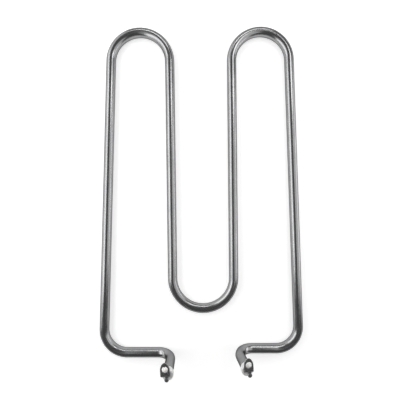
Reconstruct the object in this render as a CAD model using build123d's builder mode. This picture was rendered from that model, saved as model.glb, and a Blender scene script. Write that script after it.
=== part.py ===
from build123d import *
import os

# Tubular heating element: a steel sheath bent into a flat serpentine, with both ends turned up
# square to it. It lies on its legs in the XY plane and its terminals point up, along +Z.
# All sizes are in millimetres.

# ---------------------------------------------------------------- driving dimensions

# Sheath tube, swaged down on its packed core
sheath_diameter = 8.5
sheath_wall = 0.7
rim_chamfer = 0.25

# Bends, to the centre line of the tube, in degrees and as bent, so no two are quite alike
stub_radius = 12.4
left_stub_turn = 90.0
left_corner_radius = 21.3
left_corner_turn = 91.44
left_top_radius = 27.0
left_top_turn = 177.79
bottom_radius = 28.2
bottom_turn = 179.79
right_top_radius = 26.5
right_top_turn = 178.58
right_corner_radius = 20.5
right_stub_turn = 97.7

# Straight lengths between the bends
left_stub_straight = 16.1
left_run = 28.4
left_outer_leg = 246.9
left_inner_leg = 199.8
right_inner_leg = 199.8
right_outer_leg = 245.4
right_run = 22.2
right_stub_straight = 14.7

# Place of the left stub, from the middle of the element's outline
left_stub_x = -27.3
left_stub_y = -147.5

# Cold pin, which carries the current in
pin_diameter = 3.6
pin_reach = 11.8
pin_sunk = 11.5
pin_chamfer = 0.4
pin_flat = 0.25

# Ceramic bead on the rim, and the seal under it
bead_diameter = 9.8
bead_height = 5.2
bead_foot_flare = 1.2
bead_foot_rise = 2.0
bead_chamfer = 0.7
spigot_length = 3.0
seal_length = 5.0

# Terminal lug, folded from strip and welded to the side of the pin
lug_width = 7.6
lug_thickness = 0.8
lug_reach = 11.4
lug_tip = 6.2
lug_foot = 5.5
lug_fold = 0.5
lug_rise = 10.9
lug_hole = 4.8
hole_to_tip = 5.2
foot_corner = 0.8
# How each lug was welded: its turn about the pin, and how far it stands to one side of it
left_lug_turn = 4.5
left_lug_sideways = -0.9
right_lug_turn = 3.0
right_lug_sideways = -0.5

# ---------------------------------------------------------------- values worked out from them

sheath_radius = sheath_diameter / 2
bore_radius = sheath_radius - sheath_wall
pin_radius = pin_diameter / 2
# The right corner takes up what the other bends leave of one whole turn
right_corner_turn = 360 - left_corner_turn - left_top_turn + bottom_turn - right_top_turn
lying_plane = Plane.XY.offset(sheath_radius)

# ---------------------------------------------------------------- centre line of the sheath

# The flat part, from the foot of the left stub round to the foot of the right one
with BuildLine(lying_plane) as flat_route:
    start = (left_stub_x - stub_radius, left_stub_y)
    line = PolarLine(start, left_run, 180)
    for radius, turn, straight in (
        (left_corner_radius, -left_corner_turn, left_outer_leg),
        (left_top_radius, -left_top_turn, left_inner_leg),
        (bottom_radius, bottom_turn, right_inner_leg),
        (right_top_radius, -right_top_turn, right_outer_leg),
        (right_corner_radius, -right_corner_turn, right_run),
    ):
        bend = JernArc(line @ 1, line % 1, radius, turn)
        line = Line(bend @ 1, bend @ 1 + (bend % 1) * straight)

left_foot = flat_route.edges()[0] @ 0
right_foot = flat_route.edges()[-1] @ 1


def stub_route(foot, side, turn, straight):
    """Bend a stub up from the end of a flat run: side is 1 towards +X and -1 towards -X."""
    with BuildLine(Plane.XZ.offset(-foot.Y)) as stub:
        turn_up = JernArc((foot.X, foot.Z), (side, 0), stub_radius, turn * side)
        Line(turn_up @ 1, turn_up @ 1 + (turn_up % 1) * straight)
    return stub.line


left_stub = stub_route(left_foot, 1, left_stub_turn, left_stub_straight)
right_stub = stub_route(right_foot, -1, right_stub_turn, right_stub_straight)

with BuildLine() as sheath_route:
    add(left_stub)
    add(flat_route.line)
    add(right_stub)
route = sheath_route.wire()


def rim_plane(stub, lug_turn):
    """Plane of a rim: its normal runs up the stub and its Y axis along the lug."""
    up = stub % 1
    across = Vector(up.Z, 0, -up.X).rotate(Axis((0, 0, 0), up), lug_turn)
    return Plane(stub @ 1, x_dir=across, z_dir=up)


rims = {
    "left": rim_plane(left_stub, left_lug_turn),
    "right": rim_plane(right_stub, right_lug_turn),
}

# ---------------------------------------------------------------- sheath

# The swaged sheath and the core packed in it are one solid, apart from the two open ends
with BuildPart() as sheath:
    with BuildSketch(Plane(route @ 0, z_dir=route % 0)):
        Circle(sheath_radius)
    sweep(path=route)
    rim_edges = sheath.faces().filter_by(GeomType.PLANE).edges()
    chamfer(rim_edges, rim_chamfer)
    for rim in rims.values():
        with Locations(rim):
            Hole(bore_radius, spigot_length + seal_length)
            Hole(pin_radius, pin_sunk)

# ---------------------------------------------------------------- terminal ends


def up_axis(rim):
    """Axis of a stub, to sort its pieces' edges by height above the rim."""
    return Axis(rim.origin, rim.z_dir)


def make_pin(rim):
    """Round cold pin, with a flat near its tip where the lug is welded on."""
    with BuildPart() as pin:
        with BuildSketch(rim.offset(-pin_sunk)):
            Circle(pin_radius)
        extrude(amount=pin_sunk + pin_reach)
        chamfer(pin.edges().group_by(up_axis(rim))[-1], pin_chamfer)
        with BuildSketch(rim.offset(pin_reach)):
            with Locations((0, pin_radius - pin_flat / 2)):
                Rectangle(pin_diameter, pin_flat)
        extrude(amount=-(pin_reach - lug_rise + lug_foot), mode=Mode.SUBTRACT)
    return pin


def make_bead(rim):
    """Pressed ceramic bead: a spigot down the bore and a flared head that stands on the rim."""
    half_section = Plane(rim.origin, x_dir=rim.x_dir, z_dir=-rim.y_dir)
    head_radius = bead_diameter / 2
    with BuildPart() as bead:
        with BuildSketch(half_section):
            with BuildLine():
                Polyline(
                    (pin_radius, -spigot_length),
                    (bore_radius, -spigot_length),
                    (bore_radius, 0),
                    (head_radius - bead_foot_flare, 0),
                    (head_radius, bead_foot_rise),
                    (head_radius, bead_height - bead_chamfer),
                    (head_radius - bead_chamfer, bead_height),
                    (pin_radius, bead_height),
                    close=True,
                )
            make_face()
        revolve(axis=up_axis(rim))
    return bead


def make_seal(rim):
    """Soft ring of sealant between the bead's spigot and the packed core."""
    with BuildPart() as seal:
        with BuildSketch(rim.offset(-spigot_length)):
            Circle(bore_radius)
            Circle(pin_radius, mode=Mode.SUBTRACT)
        extrude(amount=-seal_length)
    return seal


def make_lug(rim, sideways):
    """Folded strip: a foot on the pin's flat, and a plate with a pointed arch and a screw hole."""
    weld_face = pin_radius - pin_flat
    tip = weld_face + lug_reach
    side_view = Plane(rim.from_local_coords((sideways, 0, 0)), x_dir=rim.y_dir, z_dir=rim.x_dir)
    plate_top = rim.offset(lug_rise)
    with BuildPart() as lug:
        with BuildSketch(side_view) as section:
            with BuildLine():
                Polyline(
                    (weld_face, lug_rise - lug_foot),
                    (weld_face, lug_rise),
                    (tip, lug_rise),
                    (tip, lug_rise - lug_thickness),
                    (weld_face + lug_thickness, lug_rise - lug_thickness),
                    (weld_face + lug_thickness, lug_rise - lug_foot),
                    close=True,
                )
            make_face()
            fold = section.vertices().sort_by_distance((weld_face, lug_rise))
            fillet(fold[0], lug_fold + lug_thickness)
            fillet(fold[1], lug_fold)
        extrude(amount=lug_width / 2, both=True)
        with BuildSketch(plate_top):
            with Locations((sideways, weld_face)):
                Rectangle(lug_width, lug_reach - lug_tip, align=(Align.CENTER, Align.MIN))
            with Locations((sideways, tip - lug_tip)):
                Ellipse(lug_width / 2, lug_tip)
        extrude(amount=-lug_foot, mode=Mode.INTERSECT)
        foot_edges = lug.edges().filter_by(Axis((0, 0, 0), rim.y_dir)).group_by(up_axis(rim))[0]
        fillet(foot_edges, foot_corner)
        with Locations(plate_top):
            with Locations((sideways, tip - hole_to_tip)):
                Hole(lug_hole / 2, lug_thickness)
    return lug


# ---------------------------------------------------------------- write the pieces

os.makedirs("parts", exist_ok=True)
pieces = {
    "sheath": sheath,
    "terminal_lug_left": make_lug(rims["left"], left_lug_sideways),
    "terminal_lug_right": make_lug(rims["right"], right_lug_sideways),
}
for side, rim in rims.items():
    pieces[f"cold_pin_{side}"] = make_pin(rim)
    pieces[f"ceramic_bead_{side}"] = make_bead(rim)
    pieces[f"end_seal_{side}"] = make_seal(rim)

for name, piece in pieces.items():
    piece.part.label = name
    export_step(piece.part, f"parts/{name}.step")
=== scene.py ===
"""Finish, light and camera for a tubular heating element.

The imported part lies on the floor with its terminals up. Each sub-assembly below rebuilds its
visible surface at a finer grain than the solid, from the maker's own bending and turning sizes.
Those sizes are in millimetres and degrees. The finishes and the studio are in metres.
"""

import logging
import math
from dataclasses import dataclass, field
from enum import Enum
from typing import List, Optional, Sequence, Tuple, Union

import bmesh
import bpy
import numpy as np
from mathutils import Matrix, Quaternion, Vector


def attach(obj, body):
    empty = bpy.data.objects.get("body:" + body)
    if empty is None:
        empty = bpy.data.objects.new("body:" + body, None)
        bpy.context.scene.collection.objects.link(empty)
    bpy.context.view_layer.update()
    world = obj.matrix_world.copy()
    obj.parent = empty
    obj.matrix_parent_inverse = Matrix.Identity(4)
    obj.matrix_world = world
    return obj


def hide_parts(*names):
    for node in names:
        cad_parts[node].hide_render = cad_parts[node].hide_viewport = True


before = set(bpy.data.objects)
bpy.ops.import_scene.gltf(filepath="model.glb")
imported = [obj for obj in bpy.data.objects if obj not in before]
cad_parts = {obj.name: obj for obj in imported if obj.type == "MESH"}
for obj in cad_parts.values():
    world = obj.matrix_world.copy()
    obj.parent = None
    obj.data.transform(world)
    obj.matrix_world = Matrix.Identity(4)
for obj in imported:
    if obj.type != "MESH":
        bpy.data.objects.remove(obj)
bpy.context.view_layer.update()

logging.basicConfig(level=logging.INFO, format="%(name)s: %(message)s")
log = logging.getLogger("heating_element")

MM = 0.001
BODY = "root"
Colour = Tuple[float, float, float]
Point = Tuple[float, float, float]
Flat = Tuple[float, float]

# Equal stretch on every axis, and the two directions that a bend turns about
EVEN: Point = (1.0, 1.0, 1.0)
UPRIGHT: Point = (0.0, 0.0, 1.0)
ACROSS: Point = (0.0, 1.0, 0.0)
# The cross axes and the tangent of a tube that starts straight down
FACING_DOWN: Tuple[Point, ...] = ((1.0, 0.0, 0.0), (0.0, -1.0, 0.0), (0.0, 0.0, -1.0))


class Side(Enum):
    """The two ends of the element."""

    LEFT = "left"
    RIGHT = "right"


# ---------------------------------------------------------------- node graphs


class Graph:
    """The node graph of a material or of the room, built a node at a time."""

    def __init__(self, owner: Union[bpy.types.Material, bpy.types.World]) -> None:
        """Empty the owner's graph and give it a fresh output.

        Args:
            owner: the material or the room that the graph belongs to.
        """
        owner.use_nodes = True
        self.tree = owner.node_tree
        self.tree.nodes.clear()
        kind = "World" if isinstance(owner, bpy.types.World) else "Material"
        self.output = self.tree.nodes.new("ShaderNodeOutput" + kind)

    def node(self, kind: str, **settings: object) -> bpy.types.Node:
        """Add a node.

        Args:
            kind: the node's type, without the ShaderNode prefix.
            **settings: attributes set on the node.

        Returns:
            The new node.
        """
        made = self.tree.nodes.new("ShaderNode" + kind)
        for name, value in settings.items():
            setattr(made, name, value)
        return made

    def link(self, source: bpy.types.NodeSocket, target: bpy.types.NodeSocket) -> None:
        """Join two sockets."""
        self.tree.links.new(source, target)

    def noise(self, where: bpy.types.NodeSocket, stretch: Point, scale: float,
              detail: float = 3.0) -> bpy.types.NodeSocket:
        """Add noise on stretched coordinates.

        Args:
            where: the coordinates to read.
            stretch: how many times each axis is multiplied.
            scale: the noise's scale.
            detail: the noise's octaves.

        Returns:
            The noise's value, from 0 to 1.
        """
        mapping = self.node("Mapping")
        mapping.inputs["Scale"].default_value = stretch
        self.link(where, mapping.inputs["Vector"])
        noise = self.node("TexNoise")
        noise.inputs["Scale"].default_value = scale
        noise.inputs["Detail"].default_value = detail
        self.link(mapping.outputs["Vector"], noise.inputs["Vector"])
        return noise.outputs["Fac"]

    def ramp(self, value: bpy.types.NodeSocket, low: float, high: float,
             start: float = 0.3, end: float = 0.7) -> bpy.types.NodeSocket:
        """Spread a value between two others.

        Args:
            value: the value to spread.
            low: the result at the start.
            high: the result at the end.
            start: the value where the result starts to rise.
            end: the value where it stops.

        Returns:
            The result.
        """
        spread = self.node("MapRange")
        spread.inputs["From Min"].default_value = start
        spread.inputs["From Max"].default_value = end
        spread.inputs["To Min"].default_value = low
        spread.inputs["To Max"].default_value = high
        self.link(value, spread.inputs["Value"])
        return spread.outputs["Result"]

    def tint(self, value: bpy.types.NodeSocket, dark: Colour,
             light: Colour) -> bpy.types.NodeSocket:
        """Mix two colours.

        Args:
            value: the share of the light colour.
            dark: the colour at 0.
            light: the colour at 1.

        Returns:
            The mixed colour.
        """
        mix = self.node("Mix", data_type="RGBA")
        mix.inputs["A"].default_value = (*dark, 1.0)
        mix.inputs["B"].default_value = (*light, 1.0)
        self.link(value, mix.inputs["Factor"])
        return mix.outputs["Result"]

    def bump(self, height: bpy.types.NodeSocket, depth: float,
             under: Optional[bpy.types.NodeSocket] = None) -> bpy.types.NodeSocket:
        """Turn a height into a bumped normal.

        Args:
            height: the height, from 0 to 1.
            depth: what a height of 1 is, in metres.
            under: the normal of an earlier bump.

        Returns:
            The bumped normal.
        """
        bump = self.node("Bump")
        bump.inputs["Strength"].default_value = 1.0
        bump.inputs["Distance"].default_value = depth
        self.link(height, bump.inputs["Height"])
        if under is not None:
            self.link(under, bump.inputs["Normal"])
        return bump.outputs["Normal"]

    def metal(self, edge_tint: float) -> bpy.types.Node:
        """Add a bare metal's shader.

        Args:
            edge_tint: how much of the light a glancing view gives back.

        Returns:
            The shader node.
        """
        shader = self.node("BsdfPrincipled")
        shader.inputs["Metallic"].default_value = 1.0
        shader.inputs["Specular Tint"].default_value = (edge_tint, edge_tint, edge_tint, 1.0)
        return shader

    def highest(self, *values: bpy.types.NodeSocket) -> bpy.types.NodeSocket:
        """Take the highest of several values.

        Args:
            *values: the values to compare.

        Returns:
            The highest of them.
        """
        best = values[0]
        for value in values[1:]:
            larger = self.node("Math", operation="MAXIMUM")
            self.link(best, larger.inputs[0])
            self.link(value, larger.inputs[1])
            best = larger.outputs["Value"]
        return best

    def times(self, value: bpy.types.NodeSocket,
              other: bpy.types.NodeSocket) -> bpy.types.NodeSocket:
        """Multiply two values.

        Args:
            value: the one value.
            other: the other value.

        Returns:
            Their product.
        """
        product = self.node("Math", operation="MULTIPLY")
        self.link(value, product.inputs[0])
        self.link(other, product.inputs[1])
        return product.outputs["Value"]

    def finish(self, shader: bpy.types.NodeSocket) -> None:
        """Join the last shader to the output."""
        self.link(shader, self.output.inputs["Surface"])


# ---------------------------------------------------------------- finishes


@dataclass(frozen=True)
class DrawnSteel:
    """Bright drawn tube: fine scratches along its length and a faint mottle."""

    name: str = "drawn_steel"
    dark: Colour = (0.270, 0.270, 0.275)
    light: Colour = (0.315, 0.315, 0.320)
    edge_tint: float = 0.2
    smooth: float = 0.17
    rough: float = 0.28
    scratches: float = 5200.0
    scratch_run: Point = (1.0, 1.0, 0.012)
    scratch_octaves: float = 4.0
    scratch_depth: float = 0.000002
    mottle: float = 180.0
    mottle_run: Point = (1.0, 1.0, 0.4)
    mottle_depth: float = 0.000006

    def material(self) -> bpy.types.Material:
        """Make the finish.

        Returns:
            A material that reads the tube's own unrolled coordinates.
        """
        made = bpy.data.materials.new(self.name)
        graph = Graph(made)
        unrolled = graph.node("Attribute", attribute_name=SheathTube.UNROLLED).outputs["Vector"]
        streaks = graph.noise(unrolled, self.scratch_run, self.scratches, self.scratch_octaves)
        mottle = graph.noise(unrolled, self.mottle_run, self.mottle)
        shader = graph.metal(self.edge_tint)
        graph.link(graph.tint(graph.ramp(mottle, 0.0, 1.0), self.dark, self.light),
                   shader.inputs["Base Color"])
        graph.link(graph.ramp(streaks, self.smooth, self.rough), shader.inputs["Roughness"])
        waves = graph.bump(mottle, self.mottle_depth)
        graph.link(graph.bump(streaks, self.scratch_depth, waves), shader.inputs["Normal"])
        graph.finish(shader.outputs["BSDF"])
        return made


@dataclass(frozen=True)
class NickelPlate:
    """Plated strip or wire, a little dull, with handling marks."""

    name: str
    smooth: float
    rough: float
    dark: Colour = (0.30, 0.30, 0.305)
    light: Colour = (0.40, 0.40, 0.405)
    edge_tint: float = 0.5
    patches: float = 315.0
    grain: float = 3600.0
    grain_octaves: float = 2.0
    depth: float = 0.000004

    def material(self) -> bpy.types.Material:
        """Make the finish.

        Returns:
            A metal whose gloss and tone vary in small patches.
        """
        made = bpy.data.materials.new(self.name)
        graph = Graph(made)
        where = graph.node("TexCoord").outputs["Object"]
        patches = graph.noise(where, EVEN, self.patches)
        fine = graph.noise(where, EVEN, self.grain, self.grain_octaves)
        shader = graph.metal(self.edge_tint)
        graph.link(graph.tint(graph.ramp(patches, 0.0, 1.0), self.dark, self.light),
                   shader.inputs["Base Color"])
        graph.link(graph.ramp(fine, self.smooth, self.rough), shader.inputs["Roughness"])
        graph.link(graph.bump(fine, self.depth), shader.inputs["Normal"])
        graph.finish(shader.outputs["BSDF"])
        return made


@dataclass(frozen=True)
class GlazedCeramic:
    """White steatite under a thin glaze."""

    name: str = "white_steatite"
    body: Colour = (0.86, 0.86, 0.85)
    shade: Colour = (0.74, 0.74, 0.73)
    roughness: float = 0.32
    glow_share: float = 0.5
    glow_tint: Colour = (1.0, 0.95, 0.9)
    glow_depth: float = 0.0015
    glaze: float = 0.35
    glaze_roughness: float = 0.12
    cloud: float = 420.0
    cloud_octaves: float = 4.0
    pits: float = 2600.0
    pit_octaves: float = 2.0
    pit_depth: float = 0.00001

    def material(self) -> bpy.types.Material:
        """Make the finish.

        Returns:
            A ceramic with a fine speckle and a slightly uneven glaze.
        """
        made = bpy.data.materials.new(self.name)
        graph = Graph(made)
        where = graph.node("TexCoord").outputs["Object"]
        cloud = graph.noise(where, EVEN, self.cloud, self.cloud_octaves)
        pits = graph.noise(where, EVEN, self.pits, self.pit_octaves)
        shader = graph.node("BsdfPrincipled")
        shader.inputs["Roughness"].default_value = self.roughness
        shader.inputs["Subsurface Weight"].default_value = self.glow_share
        shader.inputs["Subsurface Radius"].default_value = self.glow_tint
        shader.inputs["Subsurface Scale"].default_value = self.glow_depth
        shader.inputs["Coat Weight"].default_value = self.glaze
        shader.inputs["Coat Roughness"].default_value = self.glaze_roughness
        graph.link(graph.tint(graph.ramp(cloud, 0.0, 1.0), self.shade, self.body),
                   shader.inputs["Base Color"])
        graph.link(graph.bump(pits, self.pit_depth), shader.inputs["Normal"])
        graph.finish(shader.outputs["BSDF"])
        return made


@dataclass(frozen=True)
class Sealant:
    """Cured silicone in the mouth of the tube."""

    name: str = "cured_silicone"
    dark: Colour = (0.63, 0.621, 0.594)
    light: Colour = (0.70, 0.69, 0.66)
    roughness: float = 0.7
    lumps: float = 900.0
    lump_height: float = 0.00005

    def material(self) -> bpy.types.Material:
        """Make the finish.

        Returns:
            A dull, slightly lumpy rubber.
        """
        made = bpy.data.materials.new(self.name)
        graph = Graph(made)
        where = graph.node("TexCoord").outputs["Object"]
        lumps = graph.noise(where, EVEN, self.lumps)
        shader = graph.node("BsdfPrincipled")
        shader.inputs["Roughness"].default_value = self.roughness
        graph.link(graph.tint(lumps, self.dark, self.light), shader.inputs["Base Color"])
        graph.link(graph.bump(lumps, self.lump_height), shader.inputs["Normal"])
        graph.finish(shader.outputs["BSDF"])
        return made


@dataclass(frozen=True)
class PaleFloor:
    """White table top that keeps the shadow and fades into the white of the room."""

    name: str = "pale_floor"
    dark: Colour = (0.693, 0.693, 0.693)
    light: Colour = (0.70, 0.70, 0.70)
    cloud: float = 40.0
    near_lift: float = 0.56
    far_lift: float = 1.0
    near: float = 0.17
    far: float = 0.36

    def material(self) -> bpy.types.Material:
        """Make the finish.

        Returns:
            A matt white with a lift that only camera, glossy and transmission rays see.
        """
        made = bpy.data.materials.new(self.name)
        graph = Graph(made)
        where = graph.node("TexCoord").outputs["Object"]
        tone = graph.noise(where, EVEN, self.cloud)
        matt = graph.node("BsdfDiffuse")
        graph.link(graph.tint(tone, self.dark, self.light), matt.inputs["Color"])
        distance = graph.node("VectorMath", operation="LENGTH")
        graph.link(where, distance.inputs[0])
        lift = graph.ramp(distance.outputs["Value"], self.near_lift, self.far_lift,
                          self.near, self.far)
        rays = graph.node("LightPath")
        seen = graph.highest(rays.outputs["Is Camera Ray"], rays.outputs["Is Glossy Ray"],
                             rays.outputs["Is Transmission Ray"])
        glow = graph.node("Emission")
        graph.link(graph.times(seen, lift), glow.inputs["Strength"])
        both = graph.node("AddShader")
        graph.link(matt.outputs["BSDF"], both.inputs[0])
        graph.link(glow.outputs["Emission"], both.inputs[1])
        graph.finish(both.outputs["Shader"])
        return made


# ---------------------------------------------------------------- mesh helpers


def add_piece(name: str, mesh: bpy.types.Mesh, finish: bpy.types.Material,
              node: str) -> bpy.types.Object:
    """Put a finished mesh in the scene in place of a solid.

    Args:
        name: the piece's name.
        mesh: its mesh, in the part's own frame.
        finish: its material.
        node: the solid that it stands for.

    Returns:
        The new object.
    """
    piece = bpy.data.objects.new(name, mesh)
    bpy.context.scene.collection.objects.link(piece)
    mesh.materials.append(finish)
    mesh.polygons.foreach_set("use_smooth", [True] * len(mesh.polygons))
    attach(piece, BODY)
    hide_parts(node)
    log.info("%s: %d faces", name, len(mesh.polygons))
    return piece


def skin(name: str, rings: np.ndarray, joined: bool = False) -> bpy.types.Mesh:
    """Skin a stack of closed rings.

    Args:
        name: the mesh's name.
        rings: an array of rings, points round each ring, and coordinates in metres.
        joined: whether the last ring joins the first; otherwise both are capped.

    Returns:
        The mesh, with its faces turned outwards.
    """
    count, around = rings.shape[:2]
    faces: List[Sequence[int]] = []
    for row in range(count if joined else count - 1):
        low, high = row * around, (row + 1) % count * around
        for step in range(around):
            after = (step + 1) % around
            faces.append((low + step, low + after, high + after, high + step))
    if not joined:
        faces.append(tuple(range(around)))
        faces.append(tuple(range((count - 1) * around, count * around)))
    mesh = bpy.data.meshes.new(name)
    mesh.from_pydata([tuple(point) for point in rings.reshape(-1, 3)], [], faces)
    shell = bmesh.new()
    shell.from_mesh(mesh)
    bmesh.ops.recalc_face_normals(shell, faces=shell.faces)
    shell.to_mesh(mesh)
    shell.free()
    return mesh


def arc(centre: Flat, radius: float, start: float, end: float, steps: int) -> List[Flat]:
    """Points on an arc, ends included.

    Args:
        centre: the arc's centre.
        radius: its radius.
        start: the first angle, in degrees.
        end: the last angle, in degrees.
        steps: how many chords it has.

    Returns:
        The points.
    """
    angles = np.radians(np.linspace(start, end, steps + 1))
    return [(centre[0] + radius * math.cos(a), centre[1] + radius * math.sin(a)) for a in angles]


def spread(points: Sequence[Flat], widest: float) -> List[Flat]:
    """Fill the straight stretches of an outline with points.

    Args:
        points: the outline's corners, the last joined to the first.
        widest: the widest gap left between two points.

    Returns:
        The outline with its gaps filled evenly.
    """
    filled: List[Flat] = []
    for here, there in zip(points, list(points[1:]) + [points[0]]):
        steps = max(1, math.ceil(math.dist(here, there) / widest))
        for step in range(steps):
            share = step / steps
            filled.append((here[0] + (there[0] - here[0]) * share,
                           here[1] + (there[1] - here[1]) * share))
    return filled


# ---------------------------------------------------------------- sheath


@dataclass(frozen=True)
class Bend:
    """One stroke of the bender and the straight that follows it, in millimetres and degrees."""

    radius: float
    turn: float
    straight: float
    axis: Point = UPRIGHT


@dataclass
class TubeRoute:
    """The tube's centre line as the bender makes it, from the left rim to the right one."""

    start: Point = (-27.3, -147.5, 32.75)
    stub: float = 16.1
    # Radius, turn and straight of each bend, and the axis of the two that turn a stub up
    bends: Tuple[Bend, ...] = (
        Bend(12.4, 90.0, 28.4, ACROSS),
        Bend(21.3, -91.44, 246.9),
        Bend(27.0, -177.79, 199.8),
        Bend(28.2, 179.79, 199.8),
        Bend(26.5, -178.58, 245.4),
        Bend(20.5, -91.98, 22.2),
        Bend(12.4, 97.7, 14.7, ACROSS),
    )
    straight_step: float = 3.0
    turn_step: float = 2.5

    def stations(self) -> List[Tuple[Vector, Matrix, float]]:
        """Walk the route.

        Returns:
            For each station its point, a matrix whose columns are the two cross axes and the
            tangent, and the length so far.
        """
        place, along = Vector(self.start), 0.0
        cross = Matrix(FACING_DOWN)
        found = [(place.copy(), cross.copy(), along)]

        def go_straight(length: float) -> None:
            """Step along the tangent.

            Args:
                length: how far to go.
            """
            nonlocal place, along
            steps = max(1, round(length / self.straight_step))
            for _ in range(steps):
                place = place + cross.col[2] * (length / steps)
                along += length / steps
                found.append((place.copy(), cross.copy(), along))

        go_straight(self.stub)
        for bend in self.bends:
            axis = Vector(bend.axis) * math.copysign(1.0, bend.turn)
            centre = place + axis.cross(cross.col[2]) * bend.radius
            angle = abs(bend.turn)
            steps = max(1, round(angle / self.turn_step))
            step = Matrix.Rotation(math.radians(angle / steps), 3, axis)
            for _ in range(steps):
                place = centre + step @ (place - centre)
                cross = step @ cross
                along += math.radians(angle / steps) * bend.radius
                found.append((place.copy(), cross.copy(), along))
            go_straight(bend.straight)
        return found


@dataclass
class SheathTube:
    """The bright tube, fine enough to mirror its surroundings cleanly."""

    route: TubeRoute = field(default_factory=TubeRoute)
    radius: float = 4.25
    wall: float = 0.7
    rim_round: float = 0.25
    rim_steps: int = 4
    bore_depth: float = 8.0
    around: int = 64
    finish: DrawnSteel = field(default_factory=DrawnSteel)

    UNROLLED = "unrolled"

    def build(self) -> bpy.types.Object:
        """Skin the tube from the floor of one end bore, out round it, to the other.

        Returns:
            The tube, riding on the part in place of its solid.
        """
        stations = self.route.stations()
        angles = np.linspace(0.0, 2 * math.pi, self.around, endpoint=False)
        circle = np.stack([np.cos(angles), np.sin(angles)], axis=1)
        rings, flat = [], []

        def ring(station: Tuple[Vector, Matrix, float], ahead: float, radius: float) -> None:
            """Add one ring and its unrolled twin.

            Args:
                station: where it stands on the route.
                ahead: how far past the station it lies.
                radius: its radius.
            """
            place, cross, along = station
            axes = np.array(cross)
            rings.append(np.array(place + cross.col[2] * ahead) + radius * circle @ axes[:, :2].T)
            flat.append(np.column_stack([radius * circle, np.full(self.around, along + ahead)]))

        bore = self.radius - self.wall
        mouth = [(self.bore_depth, bore), (0.0, bore)]
        rim = arc((0.0, 0.0), self.rim_round, 0.0, 90.0, self.rim_steps)
        mouth += [(self.rim_round - back, self.radius - self.rim_round + out)
                  for out, back in reversed(rim)]
        for depth, radius in mouth:
            ring(stations[0], depth, radius)
        for station in stations[1:-1]:
            ring(station, 0.0, self.radius)
        for depth, radius in reversed(mouth):
            ring(stations[-1], -depth, radius)
        mesh = skin("sheath_tube", np.array(rings) * MM)
        unrolled = mesh.attributes.new(self.UNROLLED, "FLOAT_VECTOR", "POINT")
        unrolled.data.foreach_set("vector", (np.array(flat) * MM).ravel())
        return add_piece("sheath_tube", mesh, self.finish.material(), "sheath")


# ---------------------------------------------------------------- terminals


@dataclass(frozen=True)
class Rim:
    """A mouth of the tube, where a terminal stands, with its own axes."""

    place: Vector
    up: Vector
    lug_turn: float

    def to_part(self, points: np.ndarray) -> np.ndarray:
        """Carry points from the rim's axes to the part's frame.

        Args:
            points: coordinates across the lug, along the lug and up the stub, in millimetres.

        Returns:
            The same points in the part's frame, in metres.
        """
        across = Vector((self.up.z, 0.0, -self.up.x))
        across.rotate(Quaternion(self.up, math.radians(self.lug_turn)))
        axes = np.array((across, self.up.cross(across), self.up))
        return (np.array(self.place) + points @ axes) * MM


def turned(profile: Sequence[Flat], around: int) -> np.ndarray:
    """Turn a profile about the upright axis.

    Args:
        profile: radius and height pairs.
        around: how many points go round.

    Returns:
        One ring for each pair.
    """
    angles = np.linspace(0.0, 2 * math.pi, around, endpoint=False)
    radius, height = np.array(profile).T
    return np.stack([np.outer(radius, np.cos(angles)), np.outer(radius, np.sin(angles)),
                     np.outer(height, np.ones(around))], axis=2)


@dataclass
class CeramicBead:
    """Pressed bead: a spigot in the bore, and a flared head with a rounded crown."""

    bore: float = 1.8
    spigot: float = 3.55
    spigot_length: float = 3.0
    foot: float = 3.7
    flare: float = 2.0
    head: float = 4.9
    height: float = 5.2
    crown_round: float = 1.1
    mouth_round: float = 0.35
    flare_points: int = 9
    crown_steps: int = 9
    mouth_steps: int = 5
    around: int = 96
    finish: GlazedCeramic = field(default_factory=GlazedCeramic)

    def build(self, side: Side, rim: Rim) -> bpy.types.Object:
        """Turn the bead and stand it on its rim.

        Args:
            side: the end that it belongs to.
            rim: the mouth that it stands in.

        Returns:
            The bead.
        """
        swell = self.head - self.foot
        flare = [(self.foot + swell * math.sin(a), self.flare * (1 - math.cos(a)))
                 for a in np.linspace(0.0, math.pi / 2, self.flare_points)]
        crown = arc((self.head - self.crown_round, self.height - self.crown_round),
                    self.crown_round, 0.0, 90.0, self.crown_steps)
        mouth = arc((self.bore + self.mouth_round, self.height - self.mouth_round),
                    self.mouth_round, 90.0, 180.0, self.mouth_steps)
        profile = [(self.bore, -self.spigot_length), (self.spigot, -self.spigot_length),
                   (self.spigot, 0.0)] + flare + crown + mouth
        mesh = skin(f"bead_{side.value}", rim.to_part(turned(profile, self.around)), joined=True)
        return add_piece(mesh.name, mesh, self.finish.material(),
                         f"ceramic_bead_{side.value}")


@dataclass
class ColdPin:
    """Round pin with a rounded tip, flattened on the side that the lug is welded to."""

    radius: float = 1.8
    sunk: float = 11.5
    reach: float = 11.8
    flat: float = 0.25
    flat_foot: float = 5.4
    flat_step: float = 0.01
    tip_round: float = 0.4
    tip_steps: int = 6
    around: int = 72
    finish: NickelPlate = NickelPlate("plated_pin", smooth=0.25, rough=0.38)

    def build(self, side: Side, rim: Rim) -> bpy.types.Object:
        """Turn the pin and press its flat.

        Args:
            side: the end that it belongs to.
            rim: the mouth that it stands in.

        Returns:
            The pin.
        """
        tip = arc((self.radius - self.tip_round, self.reach - self.tip_round),
                  self.tip_round, 0.0, 90.0, self.tip_steps)
        below = [(self.radius, -self.sunk), (self.radius, self.flat_foot)]
        above = [(self.radius, self.flat_foot + self.flat_step)] + tip
        rings = turned(below + above, self.around)
        pressed = rings[len(below):, :, 1]
        np.minimum(pressed, self.radius - self.flat, out=pressed)
        mesh = skin(f"pin_{side.value}", rim.to_part(rings))
        return add_piece(mesh.name, mesh, self.finish.material(),
                         f"cold_pin_{side.value}")


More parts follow.
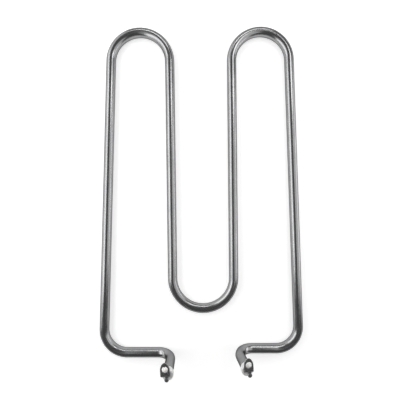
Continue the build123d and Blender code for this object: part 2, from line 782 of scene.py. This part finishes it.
@dataclass
class TerminalLug:
    """Strip lug: a foot on the pin's flat, a fold, and a plate with a pointed arch and a hole."""

    sideways: float
    width: float = 7.6
    thickness: float = 0.8
    reach: float = 11.4
    tip: float = 6.2
    foot: float = 5.5
    fold: float = 0.5
    rise: float = 10.9
    weld_face: float = 1.55
    hole: float = 4.8
    hole_to_tip: float = 5.2
    foot_corner: float = 0.8
    corner_steps: int = 6
    arch_points: int = 61
    widest_gap: float = 0.28
    edge_round: float = 0.14
    edge_steps: int = 3
    weld_spots: Tuple[float, ...] = (1.3, 3.1)
    weld_radius: float = 0.75
    weld_depth: float = 0.1
    across_top: int = 70
    finish: NickelPlate = NickelPlate("plated_strip", smooth=0.20, rough=0.34)

    def outline(self) -> List[Flat]:
        """Draw the strip before it is folded.

        Returns:
            Points along the strip from the fold's end, and across it, anticlockwise.
        """
        half = self.width / 2
        foot_end = -(self.bend_length() + self.foot - self.fold - self.thickness)
        shoulder = self.tip_end() - self.tip
        arch = [(shoulder + self.tip * math.cos(a), half * math.sin(a))
                for a in np.linspace(-math.pi / 2, math.pi / 2, self.arch_points)]
        corner, steps = self.foot_corner, self.corner_steps
        top = arc((foot_end + corner, half - corner), corner, 90.0, 180.0, steps)
        low = arc((foot_end + corner, corner - half), corner, 180.0, 270.0, steps)
        return spread(arch + top + low, self.widest_gap)

    def tip_end(self) -> float:
        """Length of the flat plate past the fold."""
        return self.reach - self.fold - self.thickness

    def bend_length(self) -> float:
        """Length of strip that the fold takes up."""
        return (self.fold + self.thickness / 2) * math.pi / 2

    def folded(self, strip: np.ndarray, depth: float) -> np.ndarray:
        """Fold flat points to the lug's shape.

        Args:
            strip: points along and across the flat strip.
            depth: how far the points lie below the strip's outer face.

        Returns:
            The points in the rim's axes.
        """
        along, across = strip[:, 0], strip[:, 1]
        outer = self.fold + self.thickness
        turn = np.clip(-along / self.bend_length(), 0.0, 1.0) * math.pi / 2
        below = np.maximum(-along - self.bend_length(), 0.0)
        spots = np.zeros_like(along)
        if depth > self.thickness / 2:
            for height in self.weld_spots:
                off = np.hypot(below - height, across) / self.weld_radius
                spots += self.weld_depth * np.clip(1.0 - off ** 2, 0.0, 1.0)
        radius = outer - (depth - spots)
        y = self.weld_face + outer - radius * np.sin(turn) + np.maximum(along, 0.0)
        z = self.rise - outer + radius * np.cos(turn) - below
        return np.stack([across + self.sideways, y, z], axis=1)

    def build(self, side: Side, rim: Rim) -> bpy.types.Object:
        """Cut the strip, ease its edges, fold it and stand it on the pin.

        Args:
            side: the end that it belongs to.
            rim: the mouth that its pin stands in.

        Returns:
            The lug.
        """
        outline = np.array(self.outline())
        centre = np.array((self.tip_end() - self.hole_to_tip, 0.0))
        spokes = outline - centre
        spokes /= np.linalg.norm(spokes, axis=1)[:, None]
        ahead = np.roll(outline, -1, axis=0) - np.roll(outline, 1, axis=0)
        inward = np.stack([-ahead[:, 1], ahead[:, 0]], axis=1)
        inward /= np.linalg.norm(inward, axis=1)[:, None]

        def edge(inset: float) -> np.ndarray:
            """The outline, pulled in."""
            return outline + inward * inset

        def hole(inset: float) -> np.ndarray:
            """The hole, opened up."""
            return centre + spokes * (self.hole / 2 + inset)

        lip = [(self.edge_round - out, self.edge_round - up) for out, up in
               arc((0.0, 0.0), self.edge_round, 0.0, 90.0, self.edge_steps)]
        shares = np.linspace(0.0, 1.0, self.across_top + 1)[1:-1]
        inner, outer = hole(self.edge_round), edge(self.edge_round)
        rings = [self.folded(hole(inset), drop) for inset, drop in reversed(lip)]
        rings += [self.folded(inner + (outer - inner) * share, 0.0) for share in shares]
        rings += [self.folded(edge(inset), drop) for inset, drop in lip]
        deep = self.thickness
        rings += [self.folded(edge(inset), deep - drop) for inset, drop in reversed(lip)]
        rings += [self.folded(outer + (inner - outer) * share, deep) for share in shares]
        rings += [self.folded(hole(inset), deep - drop) for inset, drop in lip]
        mesh = skin(f"lug_{side.value}", rim.to_part(np.array(rings)), joined=True)
        return add_piece(mesh.name, mesh, self.finish.material(),
                         f"terminal_lug_{side.value}")


@dataclass
class Terminal:
    """Everything that stands on one mouth of the tube."""

    side: Side
    rim: Rim
    lug: TerminalLug
    bead: CeramicBead = field(default_factory=CeramicBead)
    pin: ColdPin = field(default_factory=ColdPin)
    seal: Sealant = field(default_factory=Sealant)

    def build(self) -> None:
        """Stand the bead, the pin and the lug on the rim, and finish the seal under them."""
        for piece in (self.bead, self.pin, self.lug):
            piece.build(self.side, self.rim)
        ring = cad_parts[f"end_seal_{self.side.value}"]
        ring.data.materials.clear()
        ring.data.materials.append(self.seal.material())


# ---------------------------------------------------------------- studio


@dataclass(frozen=True)
class SoftBox:
    """A flat lamp, told by where it hangs, how large it is and how bright its face is."""

    name: str
    place: Point
    aim: Point
    width: float
    length: float
    glow: float

    def hang(self) -> None:
        """Put the lamp in the scene, unseen by the camera itself."""
        lamp = bpy.data.lights.new(self.name, "AREA")
        lamp.shape = "RECTANGLE"
        lamp.size = self.length
        lamp.size_y = self.width
        # A flat face gives off pi times its brightness from each unit of its area
        lamp.energy = self.glow * math.pi * self.width * self.length
        holder = bpy.data.objects.new(self.name, lamp)
        holder.location = self.place
        facing = (Vector(self.aim) - Vector(self.place)).to_track_quat("-Z", "Y")
        holder.rotation_euler = facing.to_euler()
        holder.visible_camera = False
        bpy.context.scene.collection.objects.link(holder)


@dataclass
class Studio:
    """Floor, lamps, surroundings and camera."""

    eye: Point = (-0.0012, -0.0069, 0.2609)
    lens: float = 25.0
    sensor: float = 36.0
    nearest: float = 0.01
    ambient: float = 0.14
    horizon: float = 0.05
    overhead: float = 0.20
    floor_half: float = 3.0
    # Name, place, aim, width, length and glow of each lamp
    lamps: Tuple[SoftBox, ...] = (
        SoftBox("left_low", (-0.262, 0.04, 0.095), (0.0, 0.04, 0.095), 0.15, 0.48, 1.4),
        SoftBox("left_high", (-0.262, 0.04, 0.265), (0.0, 0.04, 0.23), 0.19, 0.48, 2.9),
        SoftBox("left_far", (-0.262, 0.40, 0.19), (0.0, 0.30, 0.17), 0.33, 0.24, 1.2),
        SoftBox("left_above", (-0.21, 0.02, 0.42), (0.0, 0.02, 0.05), 0.14, 0.48, 0.5),
        SoftBox("right_bank", (0.535, 0.03, 0.235), (0.112, 0.03, -0.495), 0.84, 0.54, 1.0),
        SoftBox("right_low", (0.45, 0.03, 0.09), (0.0, 0.03, 0.05), 0.18, 0.54, 1.1),
        SoftBox("far_strip", (0.02, 0.66, 0.45), (0.02, -0.1, 0.0), 0.16, 0.50, 4.2),
        SoftBox("far_right", (0.22, 0.26, 0.33), (0.05, -0.1, 0.0), 0.16, 0.16, 3.2),
    )

    def build(self) -> None:
        """Lay the floor, hang the lamps and set the camera."""
        self.lay_floor()
        for lamp in self.lamps:
            lamp.hang()
        self.fill_world()
        self.set_camera()

    def lay_floor(self) -> None:
        """Lay a plain pale floor just under the tube."""
        half = self.floor_half
        mesh = bpy.data.meshes.new("floor")
        mesh.from_pydata([(-half, -half, 0.0), (half, -half, 0.0), (half, half, 0.0),
                          (-half, half, 0.0)], [], [(0, 1, 2, 3)])
        floor = bpy.data.objects.new("floor", mesh)
        mesh.materials.append(PaleFloor().material())
        bpy.context.scene.collection.objects.link(floor)

    def fill_world(self) -> None:
        """Fill the room with a dim light that turns white towards the horizon."""
        world = bpy.data.worlds.new("room")
        graph = Graph(world)
        rays = graph.node("LightPath")
        height = graph.node("SeparateXYZ")
        graph.link(graph.node("TexCoord").outputs["Generated"], height.inputs["Vector"])
        low = graph.ramp(height.outputs["Z"], 1.0, 0.0, self.horizon, self.overhead)
        mirrored = graph.highest(rays.outputs["Is Glossy Ray"],
                                 rays.outputs["Is Transmission Ray"])
        seen = graph.highest(rays.outputs["Is Camera Ray"], graph.times(mirrored, low))
        shade = graph.node("Background")
        shade.inputs["Color"].default_value = (1.0, 1.0, 1.0, 1.0)
        graph.link(graph.ramp(seen, self.ambient, 1.0, 0.0, 1.0), shade.inputs["Strength"])
        graph.finish(shade.outputs["Background"])
        bpy.context.scene.world = world

    def set_camera(self) -> None:
        """Look straight down from close by."""
        lens = bpy.data.cameras.new("camera")
        lens.lens = self.lens
        lens.sensor_width = self.sensor
        lens.clip_start = self.nearest
        camera = bpy.data.objects.new("camera", lens)
        camera.location = self.eye
        bpy.context.scene.collection.objects.link(camera)
        bpy.context.scene.camera = camera


def main() -> None:
    """Build the element and its studio."""
    bpy.context.scene.view_settings.view_transform = "Standard"
    tube = SheathTube()
    tube.build()
    stations = tube.route.stations()
    left, right = stations[0], stations[-1]
    # The route runs down from the left rim and up to the right one
    terminals = (
        Terminal(Side.LEFT, Rim(left[0], -left[1].col[2], lug_turn=4.5),
                 TerminalLug(sideways=-0.9)),
        Terminal(Side.RIGHT, Rim(right[0], right[1].col[2], lug_turn=3.0),
                 TerminalLug(sideways=-0.5)),
    )
    for terminal in terminals:
        terminal.build()
        log.info("terminal on the %s", terminal.side.value)
    Studio().build()


if __name__ == "__main__":
    main()
